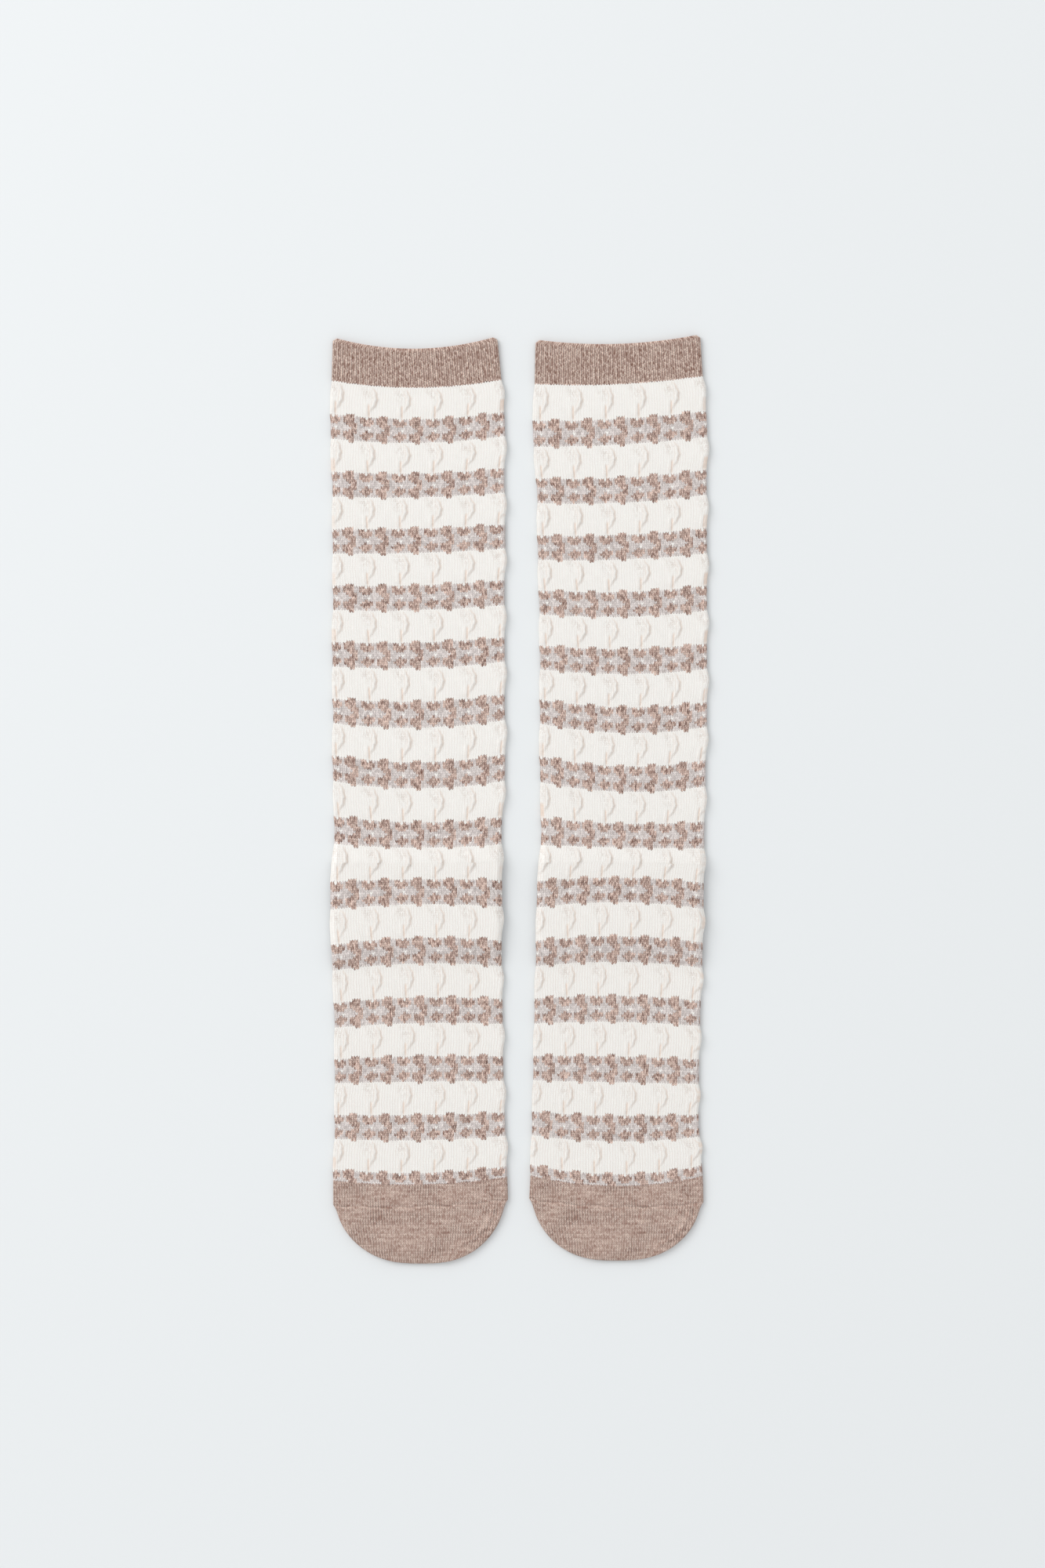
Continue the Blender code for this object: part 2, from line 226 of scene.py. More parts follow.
# %% [markdown]
# ## The hooks
#
# In each cream stripe the cloth rises to the right until it drops over a steep edge, which has a
# thin cord of yarn along it. The edge is shaped like a closing bracket, whose lower end hooks back
# to the left. Below it a narrow slit pulls the cloth in down to the next grey stripe, and a small
# knot of gathered stitches dimples the shoulder of each hook. Five stand across a face, each a
# little different.
#
# A place on a stripe is given in two counts. "Cells" counts hooks across, with a slit at each whole
# number. "Down" runs from 0 at the top of a cream stripe to 1 at its bottom. Widths below are in
# cells, and heights and depths are in millimetres.

# %% Sizes of the hooks
CREAM_STARTS, CREAM_ENDS = 0.24, 0.76  # in stripe pitches, from the middle of a grey stripe
CREASE = 8.5  # the ankle crease, in stripe pitches
HOOKS = 5
HOOK_LEAN = 0.15  # a place belongs to the hook whose slit is nearest, once it is moved this far back
HOOK_HEIGHT = 1.0
HOOK_DROP = 0.06  # width of the steep edge
HOOK_LINE = (  # the steep edge: how far down the stripe, and how far to the right of the slit
    (-0.1, 0.02), (0.0, 0.06), (0.1, 0.15), (0.25, 0.225), (0.42, 0.25),
    (0.56, 0.23), (0.67, 0.18), (0.77, 0.11), (0.85, 0.045), (0.92, 0.01), (1.1, 0.0),
)
LINE_WOBBLE, LINE_TURNS = 0.014, 27  # a slight unevenness of that line
HOOK_PHASE, STRIPE_PHASE = 9, 4  # it differs from hook to hook and from stripe to stripe
RISE_POWER, PUFF_POWER = 1.15, 0.75  # how the height grows across the cell, and down the stripe
LOWER_END, LOWER_STARTS, LOWER_LENGTH = 0.35, 0.4, 0.4  # share by which a hook's lower end is lower
CORD_HEIGHT, CORD_AT, CORD_WIDTH = 0.22, -0.01, 0.035
FOOT_RELIEF = 0.85  # the foot is pulled flatter than the leg
ANKLE_GATHER, ANKLE_REACH = 0.45, 0.3  # the stripe at the ankle is gathered more
SLIT_DEPTH, SLIT_AT, SLIT_WIDTH = 0.45, 0.012, 0.028
FLANK_HEIGHT, FLANK_AT, FLANK_WIDTH = 0.25, -0.07, 0.045  # the cloth that stands up beside a slit
SLIT_STARTS, SLIT_FADES_IN = 0.56, 0.12
SLIT_ENDS, SLIT_FADES_OUT = 1.10, 0.14
WAIST_DEPTH, WAIST_REACH, WAIST_FADE = 0.22, 0.1, 0.2  # the slits pull in the grey stripes too
KNOT_DEPTH, KNOT_REACH, KNOT_LENGTH, KNOT_SOFTNESS = 0.3, 0.11, 0.16, 0.6
KNOT_BACK, KNOT_DOWN = 0.21, 0.22  # how far it lies behind the edge, and down the stripe
FAR_FROM_KNOT = 3.0  # in the knot's own size, past which it changes nothing

# %% [markdown]
# The height is worked out for a whole grid of points at once, from soft steps and bumps. The same
# sums give the painted shade in the hooks' crease: the colour is made a little darker and warmer at
# the foot of the edge, close behind its cord and in the slit, where shade falls.

# %% Soft steps, bumps and ripples
RIPPLE_WAVES, WAVE_LENGTHS = 5, (0.7, 1.5)


def smooth_step(share):
    share = np.clip(share, 0, 1)
    return share * share * (3 - 2 * share)


def bump(place, middle, reach):
    return np.exp(-(((place - middle) / reach) ** 2))


def ripple(random, x, y, length):
    """Soft unevenness, about -1 to 1, whose waves are some of these lengths long."""
    total = 0
    for _ in range(RIPPLE_WAVES):
        angle, phase = random.uniform(0, 2 * math.pi, 2)
        turns = 2 * math.pi / (length * random.uniform(*WAVE_LENGTHS))
        total = total + np.sin((x * math.cos(angle) + y * math.sin(angle)) * turns + phase)
    return total / math.sqrt(RIPPLE_WAVES)


print("halfway up a soft step it is at", smooth_step(0.5))

# %% Height of the hooks
# painted shade: how much darker and warmer the cream is made at the foot of the edge, just behind the
# cord and in the slit, where shade falls
RIM_PAINTED_SHADE, RIM_AT, RIM_WIDTH = 0.6, 0.7, 0.03  # the foot of the edge, at this share of its drop
RIM_ENDS, RIM_FADE = 0.9, 0.15
BEHIND_PAINTED_SHADE, BEHIND_AT, BEHIND_WIDTH = 0.2, -0.085, 0.025
SLIT_PAINTED_SHADE, SLIT_SHADE_AT, SLIT_SHADE_WIDTH = 0.8, 0.01, 0.03


def down_the_cream(stripe):
    """0 at the top of a cream stripe and 1 at its bottom."""
    return (stripe % 1 - CREAM_STARTS) / (CREAM_ENDS - CREAM_STARTS)


def swell(stripe):
    """Rises from 0 to 1 and falls to 0 again down a cream stripe."""
    return np.sin(math.pi * np.clip(down_the_cream(stripe), 0, 1))


def hooks(sock, stripe, place, sizes):
    """Height over the plain cloth in mm at each place from -1 to 1, how much painted shade it takes from
    0 to 1, and how far it is from the knot."""
    course = course_at(sock.courses, stripe)
    half = (course[..., RIGHT] - course[..., LEFT]) / 2
    cells = (place - course[..., TURN] / half) / sock.cell + HOOKS / 2
    down = down_the_cream(stripe)

    number = np.floor(stripe).astype(int)
    nearest = np.clip(np.round(cells - HOOK_LEAN).astype(int), 0, HOOKS)
    edge = np.interp(down, *zip(*HOOK_LINE)) * sizes[0, number, nearest] - HOOK_DROP / 2
    edge = edge + LINE_WOBBLE * np.sin(
        LINE_TURNS * down + HOOK_PHASE * nearest + STRIPE_PHASE * number
    )
    passed = np.floor(cells - edge)
    ahead = cells - edge - passed
    coming = sizes[1, number, np.clip(passed.astype(int) + 1, 0, HOOKS)]
    gone = sizes[1, number, np.clip(passed.astype(int), 0, HOOKS)]
    saw = np.where(
        ahead < HOOK_DROP,
        gone * (1 - smooth_step(ahead / HOOK_DROP)),
        coming * (np.clip(ahead - HOOK_DROP, 0, 1) / (1 - HOOK_DROP)) ** RISE_POWER,
    )
    puff = swell(stripe) ** PUFF_POWER
    lower = 1 - LOWER_END * smooth_step((down - LOWER_STARTS) / LOWER_LENGTH)
    gathered = 1 + ANKLE_GATHER * bump(stripe, CREASE, ANKLE_REACH)

    pinch = cells - np.round(cells)
    in_slit = smooth_step((down - SLIT_STARTS) / SLIT_FADES_IN)
    in_slit = in_slit * smooth_step((SLIT_ENDS - down) / SLIT_FADES_OUT)
    slit = in_slit * (
        FLANK_HEIGHT * bump(pinch, FLANK_AT, FLANK_WIDTH) - SLIT_DEPTH * bump(pinch, SLIT_AT, SLIT_WIDTH)
    )
    in_cream = np.minimum(down + WAIST_REACH, 1 + WAIST_REACH - down) / WAIST_FADE
    waist = -WAIST_DEPTH * (1 - smooth_step(in_cream)) * np.cos(2 * math.pi * pinch)

    across = (ahead - 1 + KNOT_BACK) / KNOT_REACH
    along = (down - KNOT_DOWN * sizes[0, number, nearest]) / KNOT_LENGTH
    from_knot = np.hypot(across, along)
    knot = bump(from_knot, 0, KNOT_SOFTNESS)
    past = ahead - np.round(ahead)
    cord = CORD_HEIGHT * np.sqrt(puff) * bump(past, CORD_AT, CORD_WIDTH)

    on_foot = 1 - (1 - FOOT_RELIEF) * smooth_step(stripe - CREASE + 0.5)
    raised = HOOK_HEIGHT * gathered * lower * puff * saw
    height = on_foot * (raised + slit + waist - KNOT_DEPTH * knot + cord)
    # painted shade at the foot of the edge, just behind the cord and in the slit
    rim = np.sqrt(puff) * bump(ahead, RIM_AT * HOOK_DROP, RIM_WIDTH)
    rim = rim * smooth_step((RIM_ENDS - down) / RIM_FADE)
    behind = np.sqrt(puff) * bump(past, BEHIND_AT, BEHIND_WIDTH)
    by_edge = RIM_PAINTED_SHADE * lower * rim + BEHIND_PAINTED_SHADE * behind
    by_slit = SLIT_PAINTED_SHADE * in_slit * bump(pinch, SLIT_SHADE_AT, SLIT_SHADE_WIDTH)
    return height, np.maximum(by_edge, by_slit), np.minimum(from_knot, FAR_FROM_KNOT)


print(HOOKS, "hooks across a face, up to", HOOK_HEIGHT, "mm high")

# %% [markdown]
# ## Wrapping a flat grid into a tube
#
# A sock is knitted as a tube, and each section here is one closed wall of cloth. The plan is a flat
# grid: its columns run round the tube and its rows along it, first up the plain inside, then over
# the edge and down the outside. Every column has a place across the flat part and a direction in
# which its cloth faces: up on the top, down on the underside, and turning between them in the folds.

# %% Columns round the tube
WALL = 1.2  # thickness of the cloth
FLAT = 3.0  # height of a flat sock
ROUND = 11  # hooks' cells round the whole tube
FOLD_SHARE = 0.05  # of the way across, which a side fold takes
BULGE_POWER = 8  # how near the edge a bulge stays


class Columns:
    """Places round a flat tube from the left fold over the top, round the right fold and back."""

    def __init__(self, top, fold, under, gap=False):
        across, angle, share = [], [], []

        def add(count, across_from, across_to, angle_from, angle_to, share_from, share_to, last=False):
            steps = np.linspace(0, 1, count + 1)[: None if last else -1]
            across.extend(across_from + (across_to - across_from) * steps)
            angle.extend(angle_from + (angle_to - angle_from) * steps)
            share.extend(share_from + (share_to - share_from) * steps)

        quarter = math.pi / 2
        add(top, -1, 1, quarter, quarter, 0, 1, last=gap)
        add(fold, 1, 1, quarter, -quarter, 1, 1 + FOLD_SHARE, last=gap)
        add(under, 1, -1, -quarter, -quarter, 1 + FOLD_SHARE, 2 - FOLD_SHARE, last=gap)
        add(fold, -1, -1, -quarter, -3 * quarter, 2 - FOLD_SHARE, 2, last=True)
        self.across, self.share = np.array(across), np.array(share)
        self.side, self.up = np.cos(angle), np.sin(angle)
        self.top, self.fold, self.under = top, fold, under
        self.count = len(across)


def wrap(columns, course, half, base, top, inset, rise=0.0, dent=0.0, bulge=(0.0, 0.0), shift=0.0):
    """Points in mm, a row for each course. rise lifts the top, dent lifts the underside, and bulge
    moves the left and the right edge outwards."""
    base, top, inset = (np.asarray(value, float)[..., None] for value in (base, top, inset))
    course, half = course[:, None, :], np.asarray(half, float)[:, None]
    radius = (top - base) / 2
    out = columns.across * (half - radius) + (radius - inset) * columns.side
    height = base + radius + (radius - inset) * columns.up
    height = height + rise * np.maximum(columns.up, 0) + dent * np.maximum(-columns.up, 0)
    side = out / ((course[..., RIGHT] - course[..., LEFT]) / 2)
    left, right = (np.asarray(value, float)[..., None] for value in bulge)
    x = (course[..., LEFT] + course[..., RIGHT]) / 2 + out
    x = x + np.where(side > 0, right, -left) * side**BULGE_POWER
    y = course[..., Y] + course[..., TILT] * side + course[..., BOW] * side**2
    y = y + np.asarray(shift, float)[..., None]
    return np.stack([x, y, height], axis=-1)


STRIPED_COLUMNS = Columns(top=200, fold=8, under=60)
print(STRIPED_COLUMNS.count, "columns round a striped tube")

# %% [markdown]
# ## From a grid to a piece of cloth
#
# Blender's grid operator makes the unrolled cloth, with a UV map that counts its columns and rows.
# The points are then moved to their places round the sock, the two long edges are welded into a
# tube, and a tube's inside and outside are welded at its far end too. A pocket's two ends are
# closed instead. The UV map is turned into a count of stitches: wales across, courses along.

# %% Make a piece
MIDDLE = (0.12, -0.21)  # the pair's middle, in the table's x and y
WELD = 1e-7  # in metres: points this close are one


def cloth(name, points, stitches, sharp_rows, **fields):
    """A closed wall. points: rows x columns x 3 in mm. stitches: the same rows and columns x 2.
    Sharp rows are those where the cloth turns. Each field is a number for every row and column,
    which the material reads by its name."""
    rows, count = points.shape[:2]
    points = (points - (*MIDDLE, 0)) * MM
    bm = bmesh.new()
    bm.loops.layers.uv.new("Knit")
    bmesh.ops.create_grid(bm, x_segments=count - 1, y_segments=rows - 1, size=0.5, calc_uvs=True)
    row_of = {}
    for vert in bm.verts:
        row = round((vert.co.y + 0.5) * (rows - 1))
        row_of[vert] = row
        vert.co = points[row, round((vert.co.x + 0.5) * (count - 1))]
    for edge in bm.edges:
        first, second = (row_of[vert] for vert in edge.verts)
        edge.smooth = first != second or first not in sharp_rows
    bmesh.ops.remove_doubles(bm, verts=bm.verts, dist=WELD)
    open_edges = [edge for edge in bm.edges if edge.is_boundary]
    if open_edges:
        bmesh.ops.holes_fill(bm, edges=open_edges, sides=0)
    bmesh.ops.recalc_face_normals(bm, faces=bm.faces)
    for face in bm.faces:
        face.smooth = True
    mesh = bpy.data.meshes.new(name)
    bm.to_mesh(mesh)
    bm.free()
    uv = np.empty(len(mesh.loops) * 2, np.float32)
    mesh.uv_layers["Knit"].uv.foreach_get("vector", uv)
    uv = uv.reshape(-1, 2)
    column, row = (np.rint(uv[:, i] * (n - 1)).astype(int) for i, n in ((0, count), (1, rows)))
    mesh.uv_layers["Knit"].uv.foreach_set("vector", stitches[row, column].astype(np.float32).ravel())
    for field, values in fields.items():
        layer = mesh.attributes.new(field, "FLOAT", "CORNER")
        layer.data.foreach_set("value", values[row, column].astype(np.float32))
    piece = bpy.data.objects.new(name, mesh)
    scene.collection.objects.link(piece)
    triangles = sum(len(face.vertices) - 2 for face in mesh.polygons)
    print(f"{name}: {triangles} triangles")
    return piece


# %% [markdown]
# ## Stitches as a material
#
# The yarns are drawn by the material, from the count of wales and courses in the UV map. Node trees
# for such maths get long, so a number that varies over the surface is wrapped in a small class:
# Python's own signs then add the Math nodes. Every node comes from one method.

# %% Node maths
YARN_ROUGHNESS, YARN_SPECULAR = 0.92, 0.25
NOISE_DETAIL = 2.0


def operator(operation, swapped=False):
    def reckon(self, other):
        return self.math(operation, *((other, self) if swapped else (self, other)))

    return reckon


class Value:
    """A socket in a material that can be reckoned with like a number."""

    def __init__(self, finish, socket):
        self.finish, self.socket = finish, socket

    def math(self, operation, *values):
        return self.finish.node("ShaderNodeMath", {"operation": operation}, dict(enumerate(values)))

    def __abs__(self):
        return self.math("ABSOLUTE", self)

    def floor(self):
        return self.math("FLOOR", self)

    __add__, __radd__ = operator("ADD"), operator("ADD", swapped=True)
    __sub__, __rsub__ = operator("SUBTRACT"), operator("SUBTRACT", swapped=True)
    __pow__, __rpow__ = operator("POWER"), operator("POWER", swapped=True)
    __mul__, __truediv__ = operator("MULTIPLY"), operator("DIVIDE")
    __mod__, larger = operator("FLOORED_MODULO"), operator("MAXIMUM")
    __gt__, __lt__ = operator("GREATER_THAN"), operator("LESS_THAN")


class Finish:
    """A material whose nodes are added one by one."""

    def __init__(self, name):
        self.material = bpy.data.materials.new(name)
        self.material.use_nodes = True
        self.tree = self.material.node_tree
        self.shader = self.tree.nodes["Principled BSDF"]
        self.shader.inputs["Roughness"].default_value = YARN_ROUGHNESS
        self.shader.inputs["Specular IOR Level"].default_value = YARN_SPECULAR

    def node(self, kind, settings=None, inputs=None, output=0):
        """Adds a node: its settings first, then the values or links of its sockets."""
        node = self.tree.nodes.new(kind)
        for name, value in (settings or {}).items():
            if name == "stops":
                self.set_stops(node.color_ramp, value)
            else:
                setattr(node, name, value)
        for name, value in (inputs or {}).items():
            if isinstance(value, Value):
                self.tree.links.new(value.socket, node.inputs[name])
            else:
                node.inputs[name].default_value = value
        return Value(self, node.outputs[output])

    @staticmethod
    def set_stops(ramp, stops):
        ramp.interpolation = "CONSTANT"
        while len(ramp.elements) < len(stops):
            ramp.elements.new(1.0)
        for element, (position, colour) in zip(ramp.elements, stops):
            element.position, element.color = position, colour

    def stitch_count(self):
        """(wales, courses) from the UV map."""
        uv = self.node("ShaderNodeUVMap", {"uv_map": "Knit"})
        return [self.node("ShaderNodeSeparateXYZ", None, {0: uv}, axis) for axis in (0, 1)]

    def field(self, name):
        """One of the numbers that the mesh carries at its points."""
        return self.node("ShaderNodeAttribute", {"attribute_name": name}, None, 2)

    def vector(self, x, y, z=0.0):
        return self.node("ShaderNodeCombineXYZ", None, {0: x, 1: y, 2: z})

    def chance(self, x, y, z):
        """A random number from 0 to 1 for each whole x, y and z."""
        return self.node("ShaderNodeTexWhiteNoise", None, {"Vector": self.vector(x, y, z)})

    def noise(self, x, y, scale):
        """Soft noise from 0 to 1."""
        place = self.vector(x, y)
        inputs = {"Vector": place, "Scale": scale, "Detail": NOISE_DETAIL}
        return self.node("ShaderNodeTexNoise", None, inputs)

    def mix(self, share, first, second):
        """A colour between two: values or links."""
        inputs = {0: share, 6: first, 7: second}
        return self.node("ShaderNodeMix", {"data_type": "RGBA"}, inputs, 2)

    def brighten(self, colour, factor):
        inputs = {0: colour, "Scale": factor}
        return self.node("ShaderNodeVectorMath", {"operation": "SCALE"}, inputs)

    def finish(self, colour, height, depth, strength):
        """Links the colour, and the height as a bump this many metres deep."""
        inputs = {"Strength": strength, "Distance": depth, "Height": height}
        normal = self.node("ShaderNodeBump", None, inputs)
        self.tree.links.new(colour.socket, self.shader.inputs["Base Color"])
        self.tree.links.new(normal.socket, self.shader.inputs["Normal"])
        return self.material


def srgb(red, green, blue):
    """A colour picked from 0 to 255 in each channel, made linear for a shader."""
    share = [value / 255 for value in (red, green, blue)]
    linear = [v / 12.92 if v <= 0.04045 else ((v + 0.055) / 1.055) ** 2.4 for v in share]
    return (*linear, 1.0)


print("a mid grey of 128 is", round(srgb(128, 128, 128)[0], 3), "in a shader")

# %% [markdown]
# ## One stitch
#
# A knitted face is rows of small Vs. Each wale is a column of them, and each V is two slanting legs
# of yarn. A point's leg is found from the fraction of its wale and course; leaning the courses by
# the distance from the wale's middle slants the legs. Each leg gets its own random shade, which is
# what makes a heathered yarn look alive.

# %% Legs of yarn
WALES, COURSES = 12, 26  # stitches in a hook's cell, and in a stripe pitch


class Legs:
    """The leg of yarn at each point: its wale, its course, its random shade and its height."""

    def __init__(self, finish, wales, courses, slant):
        self.wale = wales.floor()
        across = wales - self.wale - 0.5
        self.reach = abs(across)
        leaning = courses + self.reach * (2 * slant)
        self.course = leaning.floor()
        self.along = leaning - self.course
        self.shade = finish.chance(self.wale, self.course, across > 0)
        round_across = 1 - (self.reach * 4 - 1) ** 2
        self.height = round_across * (1 - (self.along * 2 - 1) ** 4)

    def furrow(self):
        """0 in the middle of a wale, and 1 between two wales."""
        return (self.reach * 2) ** 2

    def between(self):
        """0 in the middle of a leg, and 1 at both its ends."""
        return (self.along * 2 - 1) ** 2


print(WALES * ROUND, "stitches round a sock")

# %% [markdown]
# ## The striped knit
#
# The grey stripes carry a small repeat of 12 by 13 stitches, drawn here as a knitting chart:
# a brown column that bends to the right halfway down, and under each slit two brown spots, one over
# the other, with a cream stitch between them. A node can't read a list, so each row of the chart
# becomes one whole number whose bits are its stitches. A colour ramp picks the row's number, and
# dividing it by a power of two picks the bit.

# %% The knitting chart
CHART = (  # # brown, - grey, and cream where it is blank
    "    ###     ",
    "#--####--## ",
    "##-####--###",
    "##-####--###",
    "#---####--##",
    "-----###----",
    " -----##----",
    "-----###---#",
    "##-#####--##",
    "##-####--###",
    "#--####---##",
    "----###----#",
    "     ##     ",
)
CHART_ROWS = len(CHART)


def chart_bit(finish, column, row):
    """(brown, knitted in grey or brown): 1 or 0 at each stitch of the chart."""
    bits = 2.0**WALES
    stops = []
    for number, line in enumerate(CHART):
        brown = int("".join("1" if stitch == "#" else "0" for stitch in line), 2)
        band = int("".join("0" if stitch == " " else "1" for stitch in line), 2)
        stops.append((number / CHART_ROWS, (brown / bits, band / bits, 0, 1)))
    ramp = finish.node("ShaderNodeValToRGB", {"stops": stops}, {0: (row + 0.5) / CHART_ROWS})
    place = 2 ** (WALES - 1 - column)
    inside = (row > -0.5) * (row < CHART_ROWS - 0.5)
    found = []
    for channel in (0, 1):
        number = finish.node("ShaderNodeSeparateColor", None, {0: ramp}, channel) * bits
        found.append((((number + 0.5) / place).floor() % 2) * inside)
    return found


print(CHART_ROWS, "courses in the chart, and", COURSES, "from one chart to the next")

# %% [markdown]
# Every stripe's yarn is mixed first: grey and russet from a shade that differs from leg to leg and
# in soft streaks, and cream that is almost even, with faint furrows of painted shade which fade in
# and out. The chart then picks one of them. The whole count of stitches wanders a little, so that no
# spot is quite like the next. A few small holes open round each knot, and they and the gaps between
# the legs are painted darker, as painted shade.

# %% Place of each stitch on the chart
CUFF_STARTS, CUFF_ENDS, TOE_STARTS = -0.45, 0.20, 14.0  # in stripe pitches, like CREASE
WANDER, WANDER_ACROSS, WANDER_SCALE = 1.1, 0.6, 0.35  # in stitches; less across than along
SECOND_NOISE = 500  # stitches away, where the same noise gives other numbers

striped = Finish("cream, grey and brown knit")
wales, courses = striped.stitch_count()
wander = [striped.noise(wales + start, courses, WANDER_SCALE) - 0.5 for start in (0, SECOND_NOISE)]
wales, courses = wales + wander[0] * WANDER * WANDER_ACROSS, courses + wander[1] * WANDER
legs = Legs(striped, wales, courses, slant=0.65)
column = legs.wale % WALES
row = (legs.course + COURSES / 2) % COURSES - (COURSES - CHART_ROWS + 1) / 2
brown, band = chart_bit(striped, column, row)
band = band * (legs.course > COURSES / 2)  # the first stripe is the plain brown one at the cuff
plain_brown = (legs.course < COURSES * CUFF_ENDS) + (legs.course > COURSES * TOE_STARTS - 0.5)
brown, band = brown.larger(plain_brown), band.larger(plain_brown)
print(len(striped.tree.nodes), "nodes to find the stitch")

# %% Striped knit
# the second and third cream are painted shade: for the furrows between the wales, and for the hooks'
# edges and slits
CREAM, CREAM_FURROW_SHADE, CREAM_PAINTED_SHADE = srgb(249, 246, 241), srgb(233, 224, 216), srgb(240, 217, 200)
# painted shade inside the open holes round a knot
CREAM_HOLE_SHADE = srgb(212, 198, 188)
RUSSET_LIGHT, RUSSET_DARK = srgb(229, 203, 190), srgb(114, 76, 64)
GREY_LIGHT, GREY_DARK = srgb(234, 225, 221), srgb(188, 177, 173)
LEG_SHADE, STREAK_SHADE, SHADE_DROP, RUSSET_LIFT = 0.7, 1.4, 0.55, 0.15
# the first three numbers are painted shade in the gaps between the legs, deeper in brown
GAP_DARK, GAP_VARIES, BROWN_VARIES, BAND_LIFT = 0.25, 0.35, 0.5, 0.2  # gaps between the legs
GAP_SERIES = 3.0  # a series of chances of its own, for the gaps
# the cream's furrows are painted shade
FURROW_LEAST, FURROW_FADE, FURROW_ON_FOOT = 0.1, 0.7, 0.2  # how far the cream's furrows show
HOLE_REACH, HOLE_SHADE, HOLE_SHARE = 2.2, 0.5, 0.5  # holes round a knot, at about every second leg
YARN_DEPTH, YARN_BUMP = 0.25 * MM, 0.7

streak = striped.noise(wales * 2, courses * 0.6, 1.0)
shade = legs.shade * LEG_SHADE + streak * STREAK_SHADE - SHADE_DROP
brown_yarn = striped.mix(shade + RUSSET_LIFT, RUSSET_DARK, RUSSET_LIGHT)
grey_yarn = striped.mix(shade, GREY_DARK, GREY_LIGHT)

on_foot = courses > CREASE * COURSES
fade = striped.noise(wales * 0.3, courses * 0.2, 1.0)
seen = FURROW_LEAST + fade * FURROW_FADE + on_foot * FURROW_ON_FOOT
# painted shade in the furrows between the wales
cream_yarn = striped.mix(legs.furrow() * seen, CREAM, CREAM_FURROW_SHADE)
crease, knot = (striped.field(name) for name in ("crease", "knot"))
# painted shade in the holes that open round a knot
opened = (HOLE_REACH - knot) * (knot < HOLE_REACH) * (1 - legs.height) * (legs.shade > HOLE_SHADE)
# painted shade, darker and warmer, by the hooks' edges and slits
cream_yarn = striped.mix(crease, cream_yarn, CREAM_PAINTED_SHADE)
cream_yarn = striped.mix(opened * HOLE_SHARE, cream_yarn, CREAM_HOLE_SHADE)

# painted shade in the gaps between the legs
varied = striped.chance(legs.wale, legs.course, GAP_SERIES)
gap = (1 - legs.height) * (GAP_DARK + varied * GAP_VARIES + brown * varied * BROWN_VARIES)
yarn = striped.mix(band, cream_yarn, striped.mix(brown, grey_yarn, brown_yarn))
yarn = striped.brighten(yarn, 1 + band * (BAND_LIFT - gap))
STRIPED = striped.finish(yarn, legs.height, YARN_DEPTH, YARN_BUMP)
print(len(striped.tree.nodes), "nodes in the striped knit")

# %% [markdown]
# ## The plain and the ribbed knit
#
# Toe, heel and cuff are knitted from one brown heather yarn. Fine fluff, longer streaks and the
# shade of each leg mix its dark and its light fibres. In patches the plain knit's wales stand apart
# like fine ribs, with painted shade in the furrows between them, and its small gaps are painted dark
# as shade. The cuff has a painted highlight along each rib's ridge, small dots of painted shade
# between its stitches, and a lighter lip at the turned edge.

# %% Plain brown knit
BROWN_LIGHT, BROWN_DARK = srgb(223, 201, 188), srgb(122, 85, 72)
WALE_DRIFT, DRIFT_SCALE = 2.0, 0.06  # in stitches: how far the wales wander, in long waves
LEG_SHADE, FLUFF_SHADE, STREAK_SHADE, SHADE_DROP = 0.55, 0.25, 0.8, 0.26
PATCH_GAIN, PATCH_DROP = 3.0, 1.15
# painted shade: in the furrows between the wales, more in ribby patches, and in the gaps at the ends of
# the legs; the last number scales the painted shade and highlight of the toe's seam and wrinkles
FURROW_DARK, PATCH_DARK, GAP_DARK, CREASE_PAINTED_LIGHT = 0.2, 0.5, 0.75, 0.2
PLAIN_BRIGHT = 1.26

plain = Finish("plain brown knit")
wales, courses = plain.stitch_count()
wales = wales + plain.noise(wales * DRIFT_SCALE, courses * DRIFT_SCALE, 1.0) * WALE_DRIFT
legs = Legs(plain, wales, courses, slant=0.8)
fluff = plain.noise(wales, courses, 1.3)
streak = plain.noise(wales * 0.2, courses, 0.8)
patch = plain.noise(wales * 0.08, courses * 0.1, 1.0)
gain = {"operation": "MULTIPLY_ADD", "use_clamp": True}
ribby = plain.node("ShaderNodeMath", gain, {0: patch, 1: PATCH_GAIN, 2: -PATCH_DROP})
shade = legs.shade * LEG_SHADE + fluff * FLUFF_SHADE + streak * STREAK_SHADE - SHADE_DROP
yarn = plain.mix(shade, BROWN_DARK, BROWN_LIGHT)
# painted shade in the furrows and in the gaps at the ends of the legs
dark = legs.furrow() * (FURROW_DARK + ribby * PATCH_DARK) + legs.between() * legs.shade * GAP_DARK
# the crease values add painted shade where they are above 0 and a painted highlight where they are below:
# the toe's seam line and wrinkles
yarn = plain.brighten(yarn, PLAIN_BRIGHT - (dark + plain.field("crease") * CREASE_PAINTED_LIGHT))
PLAIN = plain.finish(yarn, legs.height - legs.furrow() * ribby, YARN_DEPTH, YARN_BUMP)
print(len(plain.tree.nodes), "nodes in the plain knit")

# %% Ribbed brown knit
RIDGE_WIDTH = 0.12  # of a rib
# the last number here, and the ridge's lift on the next line, paint a highlight along each rib's ridge
LEG_SHADE, FLUFF_SHADE, PATCH_SHADE, SHADE_DROP, RIDGE_HIGHLIGHT = 0.75, 0.6, 0.3, 0.33, 0.3
RIBBED_BRIGHT, RIDGE_HIGHLIGHT_LIFT, LIP_LIFT, LIP_COURSES = 1.18, 0.15, 0.18, 1.5
# painted shade: the dots in the gaps between the stitches
DOT_LEAST, DOT_VARIES = 0.7, 1.5
RIB_YARN_DEPTH, RIB_YARN_BUMP = 0.3 * MM, 0.8

